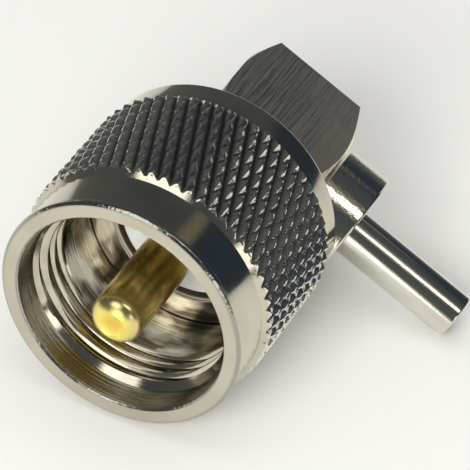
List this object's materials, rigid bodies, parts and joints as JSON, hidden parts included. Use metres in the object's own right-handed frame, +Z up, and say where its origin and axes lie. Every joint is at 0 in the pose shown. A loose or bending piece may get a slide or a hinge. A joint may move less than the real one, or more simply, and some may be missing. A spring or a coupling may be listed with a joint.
{
  "type": "right-angle UHF plug",
  "caption": "Right-angle UHF plug with a knurled spinning coupling nut, gold centre pin, square elbow body and a thin crimp stem, lying on its side.",
  "frame": {"origin": "on the floor below the middle of the plug as it lies on its side", "axes": "-Y out of the nut's mouth, +Z up, the stem slopes down towards +X"},
  "size_m": [0.0287, 0.0288, 0.02],
  "materials": {
    "nickel_plate": "bright nickel plate over brass",
    "gold_plate": "gold plate over brass",
    "white_ptfe": "turned PTFE",
    "spring_bronze": "plain spring bronze"
  },
  "bodies": {
    "plug_body": {"front_barrel": "nickel_plate", "front_insulator": "white_ptfe", "centre_pin": "gold_plate", "elbow_body": "nickel_plate", "rear_insulator": "white_ptfe", "rear_cap": "nickel_plate", "crimp_stem": "nickel_plate", "retaining_ring": "spring_bronze"},
    "coupling_nut_body": {"coupling_nut": "nickel_plate"}
  },
  "joints": [
    {"name": "nut_spin", "type": "hinge", "parent": "plug_body", "child": "coupling_nut_body", "pos_m": [-0.00436, 0.00077, 0.01], "axis": [0, 1, 0], "continuous": true}
  ]
}
